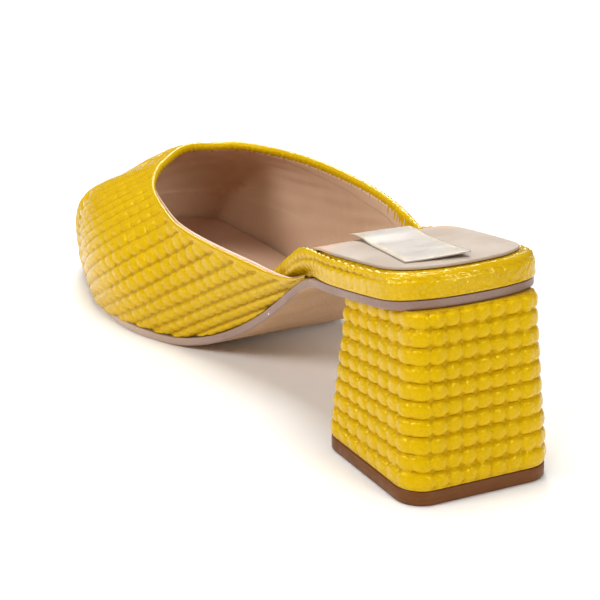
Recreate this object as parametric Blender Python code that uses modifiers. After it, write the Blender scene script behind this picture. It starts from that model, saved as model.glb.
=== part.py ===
"""A right-foot mule on a flared block heel, built from the pieces that a maker joins.

Lengths are in millimetres inside the functions and become metres when a mesh is made.
Y runs to the toe, X to the wearer's right and Z up. "Back" distances are measured along Y from
the back of the sole, and the finished parts are moved so that the origin is the middle of the
heel's ground face.
"""

import math
from collections import namedtuple

import bmesh
import bpy
import numpy as np

MM = 0.001
GAP = 0.3

# Driving dimensions
SOLE_LENGTH = 248.0
SEAT_HEIGHT = 64.3
SEAT_SLOPE = 0.1725
SEAT_END = 51.5
TREAD_START = 153.5
TREAD_END = 178.0
TOE_SPRING = 4.2

OUTSOLE_THICK = 2.9
FOOTBED_THICK = 8.1
FOOTBED_FORE_THICK = 5.3
FOOTBED_THIN_START = 84.0
FOOTBED_THIN_END = 148.0
FOOTBED_ROUNDING = 2.6
SOCK_THICK = 0.9
UPPER_WALL = 2.6
UPPER_SKIVED = 0.3
SKIVE_END = 0.22

SEAT_ROUNDING = 15.0
TOE_ROUNDING = 15.0
CORNER_POWER = 2.5

FEATHER_SETBACK = 0.7
RAND_PROUD = 0.5
RAND_END = 40.0
FOOTBED_TUCKED = 86.0
FOOTBED_TUCK = 3.8
SOCK_MARGIN = 3.6
SOCK_MARGIN_TUCKED = 0.7

TOP_PIECE_THICK = 4.8
HEEL_ROWS = 10
HEEL_ROW_RELIEF = 0.8

LABEL_LENGTH = 51.0
LABEL_FLARE = 6.0
LABEL_WIDTH = 20.0
LABEL_THICK = 0.5
LABEL_CURL = 1.4
LABEL_BACK = 37.0
LABEL_SIDE = -2.5
LABEL_TURN = -10.5

Girth = namedtuple("Girth", "back medial lateral")
GIRTHS = (
    Girth(0, -25.0, 25.0),
    Girth(12, -26.5, 26.5),
    Girth(28, -27.6, 27.6),
    Girth(42, -27.8, 28.0),
    Girth(56, -26.8, 27.4),
    Girth(70, -23.8, 25.9),
    Girth(85, -21.4, 25.0),
    Girth(100, -20.6, 25.2),
    Girth(114, -22.0, 25.9),
    Girth(128, -26.0, 27.6),
    Girth(142, -32.4, 30.4),
    Girth(156, -39.4, 33.3),
    Girth(171, -44.8, 35.2),
    Girth(186, -46.6, 35.5),
    Girth(201, -45.3, 34.6),
    Girth(216, -41.6, 32.4),
    Girth(231, -37.6, 29.3),
    Girth(248, -33.4, 25.2),
)

# A rib climbs from the feather edge to the topline. "along" is 0-1 on the medial side, 1-2 round
# the toe and 2-3 on the lateral side; leans are in degrees from upright, outward at the base and
# inward at the top.
Rib = namedtuple("Rib", "along x back z base_lean base_reach top_lean top_reach")
RIBS = (
    Rib(0.00, -24.9, 66.0, 51.7, 5, 0.2, 0, 0.2),
    Rib(0.12, -24.0, 85.2, 45.2, 38, 3.6, 0, 3.0),
    Rib(0.24, -27.6, 105.4, 44.7, 42, 8.0, 2, 6.0),
    Rib(0.36, -30.7, 124.7, 44.8, 32, 13.1, 8, 11.1),
    Rib(0.48, -32.4, 146.1, 45.0, 20, 18.1, 18, 15.1),
    Rib(0.62, -30.5, 164.3, 46.1, 12, 22.3, 35, 20.3),
    Rib(0.77, -27.7, 179.9, 49.0, 9, 24.2, 50, 26.2),
    Rib(0.91, -22.6, 189.5, 51.3, 9, 27.4, 65, 35.0),
    Rib(1.20, -14.3, 198.3, 53.7, 6, 25.0, 64, 40.6),
    Rib(1.50, -3.0, 205.0, 55.4, 3, 24.3, 69, 37.0),
    Rib(1.80, 9.0, 205.3, 54.5, 8, 25.0, 66, 38.2),
    Rib(2.10, 20.4, 199.2, 54.5, 8, 25.0, 60, 32.1),
    Rib(2.24, 27.7, 187.9, 54.4, 9, 25.1, 48, 25.1),
    Rib(2.39, 32.7, 167.0, 55.3, 12, 24.0, 33, 20.0),
    Rib(2.54, 35.2, 140.1, 55.7, 18, 19.9, 16, 15.8),
    Rib(2.72, 34.3, 110.2, 55.5, 28, 12.8, 2, 9.5),
    Rib(2.87, 30.8, 87.4, 53.9, 26, 5.7, -2, 4.2),
    Rib(3.00, 26.4, 66.0, 51.7, 5, 0.2, 0, 0.2),
)
TOP_SPREAD = 12.0
UPPER_REAR = 66.0

# The heel block between the top piece and the seat, bottom to top.
Block = namedtuple("Block", "share half_width rear front corner")
BLOCKS = (
    Block(0.0, 26.0, -5.6, 50.8, 8.8),
    Block(0.5, 23.9, -3.5, 48.6, 8.0),
    Block(1.0, 22.0, -1.6, 47.0, 7.4),
)

ORIGIN_BACK = (BLOCKS[0].rear + BLOCKS[0].front) / 2

Finish = namedtuple("Finish", "colour roughness metallic")
YELLOW = Finish((0.80, 0.50, 0.02, 1), 0.3, 0.0)
MAUVE = Finish((0.32, 0.21, 0.19, 1), 0.5, 0.0)
BEIGE = Finish((0.66, 0.53, 0.42, 1), 0.6, 0.0)
CREAM = Finish((0.84, 0.78, 0.66, 1), 0.4, 0.0)
BROWN = Finish((0.17, 0.06, 0.025, 1), 0.5, 0.0)


def spline(knots, values):
    """A natural cubic through the values; each value may be a row of numbers."""
    knots = np.asarray(knots, float)
    values = np.asarray(values, float)
    spans = np.diff(knots)
    count = len(knots)
    system = np.eye(count)
    right = np.zeros(values.shape)
    slopes = np.diff(values, axis=0) / spans.reshape(-1, *[1] * (values.ndim - 1))
    for k in range(1, count - 1):
        system[k, k - 1 : k + 2] = spans[k - 1], 2 * (spans[k - 1] + spans[k]), spans[k]
        right[k] = 6 * (slopes[k] - slopes[k - 1])
    bends = np.linalg.solve(system, right)

    def at(place):
        k = int(np.clip(np.searchsorted(knots, place) - 1, 0, count - 2))
        span = spans[k]
        before = (knots[k + 1] - place) / span
        after = 1 - before
        curve = (before**3 - before) * bends[k] + (after**3 - after) * bends[k + 1]
        return before * values[k] + after * values[k + 1] + curve * span**2 / 6

    return at


girth_at = spline([g.back for g in GIRTHS], [(g.medial, g.lateral) for g in GIRTHS])
rib_at = spline([r.along for r in RIBS], [r[1:] for r in RIBS])
block_at = spline([b.share for b in BLOCKS], [b[1:] for b in BLOCKS])


def feather_height(back):
    """Height of the outsole's upper face: seat, arch, flat tread and toe spring."""
    if back <= SEAT_END:
        return SEAT_HEIGHT - SEAT_SLOPE * back
    if back < TREAD_START:
        span = TREAD_START - SEAT_END
        s = (back - SEAT_END) / span
        start = SEAT_HEIGHT - SEAT_SLOPE * SEAT_END
        fall = (2 * s**3 - 3 * s**2 + 1) * start + (3 * s**2 - 2 * s**3) * OUTSOLE_THICK
        return fall - (s**3 - 2 * s**2 + s) * SEAT_SLOPE * span
    rise = max(0.0, back - TREAD_END) / (SOLE_LENGTH - TREAD_END)
    return OUTSOLE_THICK + TOE_SPRING * rise**2


def lifted(back, lift):
    """The point that stands lift above the feather line, square to it, as (back, height)."""
    step = 0.01
    slope = (feather_height(back + step) - feather_height(back - step)) / (2 * step)
    scale = lift / math.hypot(1, slope)
    return back - slope * scale, feather_height(back) + scale


def rounded_end(side, depth):
    """How far the sole's end falls back at a place from -1 (medial) to 1 (lateral)."""
    inside = max(0.0, 1 - abs(side) ** CORNER_POWER)
    return depth * (1 - inside ** (1 / CORNER_POWER))


def footbed_thickness(back):
    """The footbed is thick at the seat and the waist and thinner under the forefoot."""
    share = float(np.clip((back - FOOTBED_THIN_START) / (FOOTBED_THIN_END - FOOTBED_THIN_START), 0, 1))
    smooth = share * share * (3 - 2 * share)
    return FOOTBED_THICK + (FOOTBED_FORE_THICK - FOOTBED_THICK) * smooth


def footbed_inset(back):
    """Inset of the footbed from the sole's edge: proud at the seat, tucked inside the upper."""
    share = float(np.clip((back - RAND_END) / (FOOTBED_TUCKED - RAND_END), 0, 1))
    smooth = share * share * (3 - 2 * share)
    return -RAND_PROUD + (FOOTBED_TUCK + RAND_PROUD) * smooth


def sock_inset(back):
    """Inset of the sock: a margin inside the footbed's edge, narrower under the upper."""
    share = float(np.clip((back - RAND_END) / (FOOTBED_TUCKED - RAND_END), 0, 1))
    margin = SOCK_MARGIN + (SOCK_MARGIN_TUCKED - SOCK_MARGIN) * share
    return footbed_inset(back) + margin


def plan_point(side, share, inset_at):
    """Plan position on the sole at side (-1 to 1) and share of its length, as (x, back)."""
    rear = rounded_end(side, SEAT_ROUNDING) + inset_at(0)
    front = SOLE_LENGTH - rounded_end(side, TOE_ROUNDING) - inset_at(SOLE_LENGTH)
    back = rear + share * (front - rear)
    medial, lateral = girth_at(back)
    inset = inset_at(back)
    return (medial + lateral) / 2 + side * ((lateral - medial) / 2 - inset), back


def edge_point(along, inset):
    """The sole's edge from the medial rear of the upper round the toe to the lateral rear."""
    corner = SOLE_LENGTH - TOE_ROUNDING
    if 1 < along < 2:
        turn = math.pi * (2 - along)
        side = math.copysign(abs(math.cos(turn)) ** (2 / CORNER_POWER), -math.cos(math.pi * (along - 1)))
        back = corner + (TOE_ROUNDING - inset) * math.sin(turn) ** (2 / CORNER_POWER)
    else:
        side = -1 if along <= 1 else 1
        travel = along if along <= 1 else 3 - along
        back = UPPER_REAR + travel * (corner - UPPER_REAR)
    medial, lateral = girth_at(back)
    x = (medial + lateral) / 2 + side * ((lateral - medial) / 2 - inset)
    return np.array([x, *lifted(back, GAP)])


def edge_outward(along):
    """Unit vector square to the sole's edge in plan, pointing outward."""
    step = 0.02
    ahead = edge_point(min(3.0, along + step), 0)
    behind = edge_point(max(0.0, along - step), 0)
    run = ahead - behind
    normal = np.array([-run[1], run[0], 0.0])
    return normal / np.linalg.norm(normal)


def upper_point(along, rise):
    """A point on the upper's outer face: rise is 0 at the feather edge and 1 at the topline."""
    x, back, z, base_lean, base_reach, top_lean, top_reach = rib_at(along)
    foot = edge_point(along, FEATHER_SETBACK)
    top = np.array([x, back, z])
    outward = edge_outward(along)
    spread = outward * TOP_SPREAD + (foot - top) * (1, 1, 0)
    spread /= np.linalg.norm(spread)
    up = np.array([0.0, 0.0, 1.0])
    base_lean, top_lean = math.radians(base_lean), math.radians(top_lean)
    low = foot + base_reach * (outward * math.sin(base_lean) + up * math.cos(base_lean))
    high = top + top_reach * (spread * math.sin(top_lean) - up * math.cos(top_lean))
    left = 1 - rise
    weights = left**3, 3 * rise * left**2, 3 * rise**2 * left, rise**3
    return sum(w * p for w, p in zip(weights, (foot, low, high, top)))


def remove_objects():
    """Clears whatever the scene holds."""
    for obj in list(bpy.data.objects):
        bpy.data.objects.remove(obj, do_unlink=True)


def material(name, finish):
    """A Principled material of one finish."""
    made = bpy.data.materials.new(name)
    made.use_nodes = True
    shader = made.node_tree.nodes["Principled BSDF"]
    shader.inputs["Base Color"].default_value = finish.colour
    shader.inputs["Roughness"].default_value = finish.roughness
    shader.inputs["Metallic"].default_value = finish.metallic
    return made


def add_object(name, mesh_data, finish, collection):
    """Turns a bmesh into a smooth-shaded object in the collection."""
    mesh = bpy.data.meshes.new(name)
    mesh_data.to_mesh(mesh)
    mesh_data.free()
    mesh.materials.append(material(name, finish))
    mesh.shade_smooth()
    obj = bpy.data.objects.new(name, mesh)
    collection.objects.link(obj)
    return obj


def sheet(columns, rows, place, spread=lambda t: t):
    """A grid bent onto place(u, v), which returns millimetres; spread spaces the columns."""
    made = bmesh.new()
    bmesh.ops.create_grid(made, x_segments=columns, y_segments=rows, size=0.5)
    for vert in made.verts:
        x, back, z = place(spread(vert.co.x + 0.5), vert.co.y + 0.5)
        vert.co = (x * MM, (back - ORIGIN_BACK) * MM, z * MM)
    return made


def toward_edges(t):
    """Packs the columns of a sheet toward its two long edges."""
    return 0.5 + 0.5 * math.sin(math.pi * (t - 0.5))


def partly_toward_edges(t):
    """Leaves the outer columns wide enough for a rounded rim."""
    return (t + toward_edges(t)) / 2


def thicken(obj, thickness):
    """Gives an open sheet its thickness on the side that its faces point to."""
    solid = obj.modifiers.new("Thickness", "SOLIDIFY")
    solid.thickness = thickness * MM
    solid.offset = 1
    solid.use_even_offset = True
    return solid


def plate(name, lift_at, thickness_at, inset_at, grid, spread, finish, collection):
    """A layer of the sole that follows its profile, lifted above the feather line."""
    columns, rows = grid
    thickest = thickness_at(0)

    def place(u, v):
        x, back = plan_point(2 * u - 1, v, inset_at)
        back, z = lifted(back, lift_at(back))
        return x, back, z

    obj = add_object(name, sheet(columns, rows, place, spread), finish, collection)
    wall = thicken(obj, thickest)
    layer = obj.vertex_groups.new(name="wall")
    for vert in obj.data.vertices:
        u, v = spread(vert.index % (columns + 1) / columns), vert.index // (columns + 1) / rows
        _, back = plan_point(2 * u - 1, v, inset_at)
        layer.add([vert.index], thickness_at(back) / thickest, "REPLACE")
    wall.vertex_group = layer.name
    return obj


def ring(half_width, rear, front, corner, proud, segments=4):
    """A rounded rectangle in plan, pushed outward by proud, as (x, back) points."""
    points = []
    for side_x, end, start in ((1, rear, -90), (1, front, 0), (-1, front, 90), (-1, rear, 180)):
        middle_x = side_x * (half_width - corner)
        middle_y = end + corner if end == rear else end - corner
        for k in range(segments + 1):
            turn = math.radians(start + 90 * k / segments)
            reach = corner + proud
            points.append((middle_x + reach * math.cos(turn), middle_y + reach * math.sin(turn)))
    return points


def stacked(levels):
    """Joins closed rings of equal length into one solid with flat ends."""
    made = bmesh.new()
    rings = []
    for level in levels:
        points = [(x * MM, (back - ORIGIN_BACK) * MM, z * MM) for x, back, z in level]
        rings.append([made.verts.new(point) for point in points])
    for low, high in zip(rings, rings[1:]):
        for k in range(len(low)):
            made.faces.new((low[k - 1], low[k], high[k], high[k - 1]))
    made.faces.new(rings[0])
    made.faces.new(rings[-1])
    bmesh.ops.recalc_face_normals(made, faces=made.faces)
    return made


def make_heel_block(collection):
    """The covered block: rows of the covering stand out as rounded courses."""
    low = TOP_PIECE_THICK + GAP
    levels = []
    steps = 2 * HEEL_ROWS
    for k in range(steps + 1):
        share = k / steps
        half_width, rear, front, corner = block_at(share)
        proud = HEEL_ROW_RELIEF * (k % 2)
        level = []
        for x, back in ring(half_width, rear, front, corner, proud):
            high = SEAT_HEIGHT - SEAT_SLOPE * back - (OUTSOLE_THICK + GAP) * math.hypot(1, SEAT_SLOPE)
            level.append((x, back, low + share * (high - low)))
        levels.append(level)
    return add_object("heel_block", stacked(levels), YELLOW, collection)


def make_top_piece(collection):
    """The wearing piece under the heel."""
    bottom = BLOCKS[0]
    shape = ring(bottom.half_width, bottom.rear, bottom.front, bottom.corner, 0.2)
    levels = [[(x, back, z) for x, back in shape] for z in (0.0, TOP_PIECE_THICK)]
    return add_object("top_piece", stacked(levels), BROWN, collection)


def make_upper(collection):
    """The closed-toe vamp: one hollow wall, open at the topline, the rear and underneath."""

    def place(u, v):
        return upper_point(3 * u, v)

    obj = add_object("upper", sheet(72, 12, place), YELLOW, collection)
    wall = thicken(obj, UPPER_WALL)
    skived = obj.vertex_groups.new(name="wall")
    columns = 73
    for vert in obj.data.vertices:
        along = 3 * (vert.index % columns) / (columns - 1)
        share = min(1.0, min(along, 3 - along) / SKIVE_END)
        skived.add([vert.index], UPPER_SKIVED + (1 - UPPER_SKIVED) * share, "REPLACE")
    wall.vertex_group = skived.name
    return obj


def make_label(collection):
    """A thin patch stuck to the sock, bare, with one corner curling up."""
    turn = math.radians(LABEL_TURN)
    base_lift = GAP + FOOTBED_THICK + GAP + SOCK_THICK + GAP

    def place(u, v):
        across, along = (u - 0.5) * LABEL_WIDTH, (v - 0.5) * LABEL_LENGTH
        along += (v - 0.5) * LABEL_FLARE * u
        x = LABEL_SIDE + across * math.cos(turn) - along * math.sin(turn)
        back = LABEL_BACK + across * math.sin(turn) + along * math.cos(turn)
        back, z = lifted(back, base_lift)
        return x, back, z + LABEL_CURL * u * (1 - v) ** 2

    obj = add_object("label", sheet(4, 8, place), CREAM, collection)
    thicken(obj, LABEL_THICK)
    return obj


def main():
    """Builds every piece of the mule in its own collection."""
    remove_objects()
    collection = bpy.data.collections.new("block_heel_mule")
    bpy.context.scene.collection.children.link(collection)

    plate(
        "outsole", lambda back: -OUTSOLE_THICK, lambda back: OUTSOLE_THICK, lambda back: 0.0,
        (12, 40), toward_edges, MAUVE, collection,
    )
    footbed = plate(
        "footbed", lambda back: GAP, footbed_thickness, footbed_inset,
        (16, 32), partly_toward_edges, YELLOW, collection,
    )
    rounding = footbed.modifiers.new("Rounding", "BEVEL")
    rounding.width = FOOTBED_ROUNDING * MM
    rounding.segments = 2
    rounding.limit_method = "ANGLE"
    rounding.angle_limit = math.radians(50)
    plate(
        "sock", lambda back: 2 * GAP + footbed_thickness(back), lambda back: SOCK_THICK, sock_inset,
        (12, 36), toward_edges, BEIGE, collection,
    )
    make_label(collection)
    make_upper(collection)
    make_heel_block(collection)
    make_top_piece(collection)


main()
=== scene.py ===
"""Dresses a right-foot mule: embossed yellow vamp, lining, wrapped footbed, thin sole and block heel.

The classes hold their sizes in millimetres and work in the shoemaker's plan: x is the wearer's
right, back is the distance along the foot from the rear of the sole, z is the height above the
floor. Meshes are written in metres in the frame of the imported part, whose origin is the middle of
the heel's ground face.
"""

from __future__ import annotations

import itertools
import logging
import math
from dataclasses import dataclass
from enum import Enum
from typing import Callable

import bmesh
import bpy
import numpy as np
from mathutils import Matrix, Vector


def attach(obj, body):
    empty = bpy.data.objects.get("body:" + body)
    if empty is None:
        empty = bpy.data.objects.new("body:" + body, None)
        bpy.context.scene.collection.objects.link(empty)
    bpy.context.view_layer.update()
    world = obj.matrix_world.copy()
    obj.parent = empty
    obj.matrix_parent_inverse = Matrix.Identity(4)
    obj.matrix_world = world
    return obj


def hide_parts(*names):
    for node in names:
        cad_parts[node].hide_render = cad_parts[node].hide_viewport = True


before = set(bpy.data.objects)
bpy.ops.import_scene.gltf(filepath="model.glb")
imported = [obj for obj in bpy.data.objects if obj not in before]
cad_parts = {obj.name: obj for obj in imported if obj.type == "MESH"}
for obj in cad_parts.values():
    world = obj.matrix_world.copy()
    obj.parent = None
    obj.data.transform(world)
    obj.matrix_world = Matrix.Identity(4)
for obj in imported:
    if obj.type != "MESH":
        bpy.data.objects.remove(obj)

LOG = logging.getLogger("mule")
MM = 0.001
ORIGIN_BACK = 22.6
BODY = "root"
WELD = 0.00001

Array = np.ndarray
Colour = tuple[float, float, float]
Point = tuple[float, float, float]
Along = Callable[[Array], Array]


class Shade(Enum):
    """Names of the vertex attributes that a finish reads."""

    RELIEF = "relief"
    # Share of a dull leather's second tone: the lining's cut edge, and painted light and painted shade
    # elsewhere.
    CUT_EDGE_AND_PAINTED_LIGHT = "cut_edge_and_painted_light_share"
    ACROSS = "across"
    ALONG = "along"


# --------------------------------------------------------------------------- small geometry tools


def smooth_step(value: Array, low: float, high: float) -> Array:
    """Rises smoothly from 0 at low to 1 at high.

    Args:
        value: What is compared.
        low: Where the rise starts.
        high: Where it ends.

    Returns:
        The share, shaped as value.
    """
    share = np.clip((value - low) / (high - low), 0, 1)
    return share * share * (3 - 2 * share)


def band(value: Array, low: float, full: float, last: float, end: float) -> Array:
    """Rises smoothly from low to full, and falls again from last to end."""
    return smooth_step(value, low, full) * (1 - smooth_step(value, last, end))


def even(size: float) -> Along:
    """A size that is the same all along the foot."""
    return lambda back: 0 * back + size


def unit(vectors: Array) -> Array:
    """Vectors along the last axis at length one."""
    return vectors / np.maximum(np.linalg.norm(vectors, axis=-1, keepdims=True), 1e-9)


def jitter(first: Array, second: Array, seed: float) -> Array:
    """A fixed scatter from -1 to 1 for each pair of whole numbers.

    Args:
        first: Row numbers.
        second: Column numbers.
        seed: Tells one scatter from another.

    Returns:
        One value for each pair.
    """
    mixed = np.sin(first * 12.9898 + second * 78.233 + seed * 37.719) * 43758.5453
    return 2 * (mixed - np.floor(mixed)) - 1


def travel(points: Array, axis: int) -> Array:
    """Distance covered along one axis of a grid of points, from 0."""
    steps = np.linalg.norm(np.diff(points, axis=axis), axis=-1)
    lead = np.zeros_like(np.take(steps, [0], axis=axis))
    return np.concatenate([lead, np.cumsum(steps, axis=axis)], axis=axis)


class NaturalCurve:
    """A natural cubic through rows of numbers."""

    def __init__(self, knots: Array, values: Array) -> None:
        """Solves the curve's bends.

        Args:
            knots: Rising places.
            values: One row of numbers for each place.
        """
        self.knots = np.asarray(knots, float)
        self.values = np.asarray(values, float)
        self.spans = np.diff(self.knots)
        count = len(self.knots)
        system = np.eye(count)
        right = np.zeros(self.values.shape)
        slopes = np.diff(self.values, axis=0) / self.spans[:, None]
        for k in range(1, count - 1):
            before, after = self.spans[k - 1], self.spans[k]
            system[k, k - 1 : k + 2] = before, 2 * (before + after), after
            right[k] = 6 * (slopes[k] - slopes[k - 1])
        self.bends = np.linalg.solve(system, right)

    def __call__(self, places: Array) -> Array:
        """Rows of numbers at the places."""
        places = np.asarray(places, float)
        k = np.clip(np.searchsorted(self.knots, places) - 1, 0, len(self.knots) - 2)
        span = self.spans[k][..., None]
        before = (self.knots[k + 1] - places)[..., None] / span
        after = 1 - before
        bend = (before**3 - before) * self.bends[k] + (after**3 - after) * self.bends[k + 1]
        return before * self.values[k] + after * self.values[k + 1] + bend * span**2 / 6


# --------------------------------------------------------------------------- the shoe's form


@dataclass(frozen=True)
class Last:
    """The form that every piece is built round, with the part's own driving sizes.

    Each girth is a distance along the foot, then the sole's medial and lateral edge there. Each rib
    of the upper is a place along the edge, then the rib's top as x, back and height, the lean in
    degrees and the reach of its curve at the foot, and the same at the top.
    """

    sole_length: float = 248.0
    seat_height: float = 64.3
    seat_slope: float = 0.1725
    seat_end: float = 51.5
    tread_start: float = 153.5
    tread_end: float = 178.0
    toe_spring: float = 4.2
    outsole_thick: float = 2.9
    footbed_thick: float = 8.1
    footbed_fore_thick: float = 5.3
    footbed_thin_start: float = 84.0
    footbed_thin_end: float = 148.0
    sock_thick: float = 0.9
    seat_rounding: float = 15.0
    toe_rounding: float = 15.0
    corner_power: float = 2.5
    feather_setback: float = 0.7
    upper_rear: float = 66.0
    rand_proud: float = 0.5
    rand_end: float = 40.0
    footbed_tucked: float = 86.0
    footbed_tuck: float = 3.8
    gap: float = 0.3
    wall: float = 2.6
    skived: float = 0.3
    skive_end: float = 0.22
    top_spread: float = 12.0
    girths: tuple[tuple[float, ...], ...] = (
        (0, -25.0, 25.0),
        (12, -26.5, 26.5),
        (28, -27.6, 27.6),
        (42, -27.8, 28.0),
        (56, -26.8, 27.4),
        (70, -23.8, 25.9),
        (85, -21.4, 25.0),
        (100, -20.6, 25.2),
        (114, -22.0, 25.9),
        (128, -26.0, 27.6),
        (142, -32.4, 30.4),
        (156, -39.4, 33.3),
        (171, -44.8, 35.2),
        (186, -46.6, 35.5),
        (201, -45.3, 34.6),
        (216, -41.6, 32.4),
        (231, -37.6, 29.3),
        (248, -33.4, 25.2),
    )
    ribs: tuple[tuple[float, ...], ...] = (
        (0.00, -24.9, 66.0, 51.7, 5, 0.2, 0, 0.2),
        (0.12, -24.0, 85.2, 45.2, 38, 3.6, 0, 3.0),
        (0.24, -27.6, 105.4, 44.7, 42, 8.0, 2, 6.0),
        (0.36, -30.7, 124.7, 44.8, 32, 13.1, 8, 11.1),
        (0.48, -32.4, 146.1, 45.0, 20, 18.1, 18, 15.1),
        (0.62, -30.5, 164.3, 46.1, 12, 22.3, 35, 20.3),
        (0.77, -27.7, 179.9, 49.0, 9, 24.2, 50, 26.2),
        (0.91, -22.6, 189.5, 51.3, 9, 27.4, 65, 35.0),
        (1.20, -14.3, 198.3, 53.7, 6, 25.0, 64, 40.6),
        (1.50, -3.0, 205.0, 55.4, 3, 24.3, 69, 37.0),
        (1.80, 9.0, 205.3, 54.5, 8, 25.0, 66, 38.2),
        (2.10, 20.4, 199.2, 54.5, 8, 25.0, 60, 32.1),
        (2.24, 27.7, 187.9, 54.4, 9, 25.1, 48, 25.1),
        (2.39, 32.7, 167.0, 55.3, 12, 24.0, 33, 20.0),
        (2.54, 35.2, 140.1, 55.7, 18, 19.9, 16, 15.8),
        (2.72, 34.3, 110.2, 55.5, 28, 12.8, 2, 9.5),
        (2.87, 30.8, 87.4, 53.9, 26, 5.7, -2, 4.2),
        (3.00, 26.4, 66.0, 51.7, 5, 0.2, 0, 0.2),
    )

    def girth(self, back: Array) -> tuple[Array, Array]:
        """Medial and lateral edge of the sole at a distance along the foot."""
        table = np.array(self.girths)
        sides = NaturalCurve(table[:, 0], table[:, 1:])(back)
        return sides[..., 0], sides[..., 1]

    def feather_height(self, back: Array) -> Array:
        """Height of the outsole's upper face: seat, arch, flat tread and toe spring."""
        back = np.asarray(back, float)
        seat = self.seat_height - self.seat_slope * back
        span = self.tread_start - self.seat_end
        s = np.clip((back - self.seat_end) / span, 0, 1)
        start = self.seat_height - self.seat_slope * self.seat_end
        arch = (2 * s**3 - 3 * s**2 + 1) * start + (3 * s**2 - 2 * s**3) * self.outsole_thick
        arch = arch - (s**3 - 2 * s**2 + s) * self.seat_slope * span
        rise = np.maximum(0.0, back - self.tread_end) / (self.sole_length - self.tread_end)
        tread = self.outsole_thick + self.toe_spring * rise**2
        return np.where(back <= self.seat_end, seat, np.where(back < self.tread_start, arch, tread))

    def lifted(self, back: Array, lift: float | Array) -> tuple[Array, Array]:
        """The point that stands lift above the feather line, square to it, as back and height."""
        step = 0.01
        slope = (self.feather_height(back + step) - self.feather_height(back - step)) / (2 * step)
        scale = lift / np.hypot(1, slope)
        return back - slope * scale, self.feather_height(back) + scale

    def tuck_share(self, back: Array) -> Array:
        """Share of the footbed's tuck under the upper, from 0 at the seat to 1."""
        return np.clip((back - self.rand_end) / (self.footbed_tucked - self.rand_end), 0, 1)

    def footbed_thickness(self, back: Array) -> Array:
        """Thickness of the footbed, which thins from the waist to the forefoot."""
        thinning = smooth_step(back, self.footbed_thin_start, self.footbed_thin_end)
        return self.footbed_thick + (self.footbed_fore_thick - self.footbed_thick) * thinning

    def footbed_inset(self, back: Array) -> Array:
        """Inset of the footbed from the sole's edge."""
        tucked = smooth_step(back, self.rand_end, self.footbed_tucked)
        return -self.rand_proud + (self.footbed_tuck + self.rand_proud) * tucked

    def plan_point(self, side: Array, share: Array, inset_at: Along) -> tuple[Array, Array]:
        """A place on the sole in plan.

        Args:
            side: From -1 at the medial edge to 1 at the lateral edge.
            share: From 0 at the rear to 1 at the toe.
            inset_at: Inset from the edge at a distance along the foot.

        Returns:
            The place as x and back.
        """
        inside = np.maximum(0.0, 1 - np.abs(side) ** self.corner_power) ** (1 / self.corner_power)
        rear = self.seat_rounding * (1 - inside) + inset_at(np.zeros(1))[0]
        end = np.full(1, self.sole_length)
        front = self.sole_length - self.toe_rounding * (1 - inside) - inset_at(end)[0]
        back = rear + share * (front - rear)
        medial, lateral = self.girth(back)
        return (medial + lateral) / 2 + side * ((lateral - medial) / 2 - inset_at(back)), back

    def edge_plan(self, along: Array, inset: Array | float) -> tuple[Array, Array]:
        """The sole's edge in plan, from the upper's rear round the toe.

        Args:
            along: 0 to 1 up the medial side, 1 to 2 round the toe and 2 to 3 down the lateral side.
            inset: Distance inside the edge.

        Returns:
            The edge as x and back.
        """
        power = 2 / self.corner_power
        corner = self.sole_length - self.toe_rounding
        turn = math.pi * np.clip(2 - along, 0, 1)
        side_round = -np.sign(np.cos(math.pi * (along - 1))) * np.abs(np.cos(turn)) ** power
        back_round = corner + (self.toe_rounding - inset) * np.abs(np.sin(turn)) ** power
        travelled = np.where(along <= 1, along, 3 - along)
        at_end = (along > 1) & (along < 2)
        side = np.where(at_end, side_round, np.where(along <= 1, -1.0, 1.0))
        back = np.where(at_end, back_round, self.upper_rear + travelled * (corner - self.upper_rear))
        medial, lateral = self.girth(back)
        return (medial + lateral) / 2 + side * ((lateral - medial) / 2 - inset), back

    def edge_outward(self, along: Array) -> Array:
        """Unit vectors square to the sole's edge in plan, pointing outward."""
        step = 0.02
        ahead = np.stack(self.edge_plan(np.minimum(3.0, along + step), 0.0), -1)
        behind = np.stack(self.edge_plan(np.maximum(0.0, along - step), 0.0), -1)
        run = ahead - behind
        return unit(np.stack([-run[:, 1], run[:, 0], np.zeros(len(run))], -1))

    def wall_share(self, along: Array) -> Array:
        """Share of the upper's wall thickness, thinned at its two rear ends."""
        share = np.minimum(1.0, np.minimum(along, 3 - along) / self.skive_end)
        return self.skived + (1 - self.skived) * share

    def upper_face(self, along: Array, rise: Array) -> Array:
        """The upper's outer face.

        Args:
            along: Places along the edge.
            rise: Rising shares from 0 at the feather edge to 1 at the topline.

        Returns:
            Points as (rise, along, 3).
        """
        table = np.array(self.ribs)
        rib = NaturalCurve(table[:, 0], table[:, 1:])(along)
        top = rib[:, :3]
        base_lean, base_reach, top_lean, top_reach = rib[:, 3:].T[..., None]
        x, back = self.edge_plan(along, self.feather_setback)
        foot = np.stack([x, *self.lifted(back, self.gap)], -1)
        outward = self.edge_outward(along)
        up = np.array([0.0, 0.0, 1.0])
        spread = unit(outward * self.top_spread + (foot - top) * (1, 1, 0))
        low_turn, high_turn = np.radians(base_lean), np.radians(top_lean)
        low = foot + base_reach * (outward * np.sin(low_turn) + up * np.cos(low_turn))
        high = top + top_reach * (spread * np.sin(high_turn) - up * np.cos(high_turn))
        t = rise[:, None, None]
        return (1 - t) ** 3 * foot + 3 * t * (1 - t) ** 2 * low + 3 * t**2 * (1 - t) * high + t**3 * top


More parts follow.
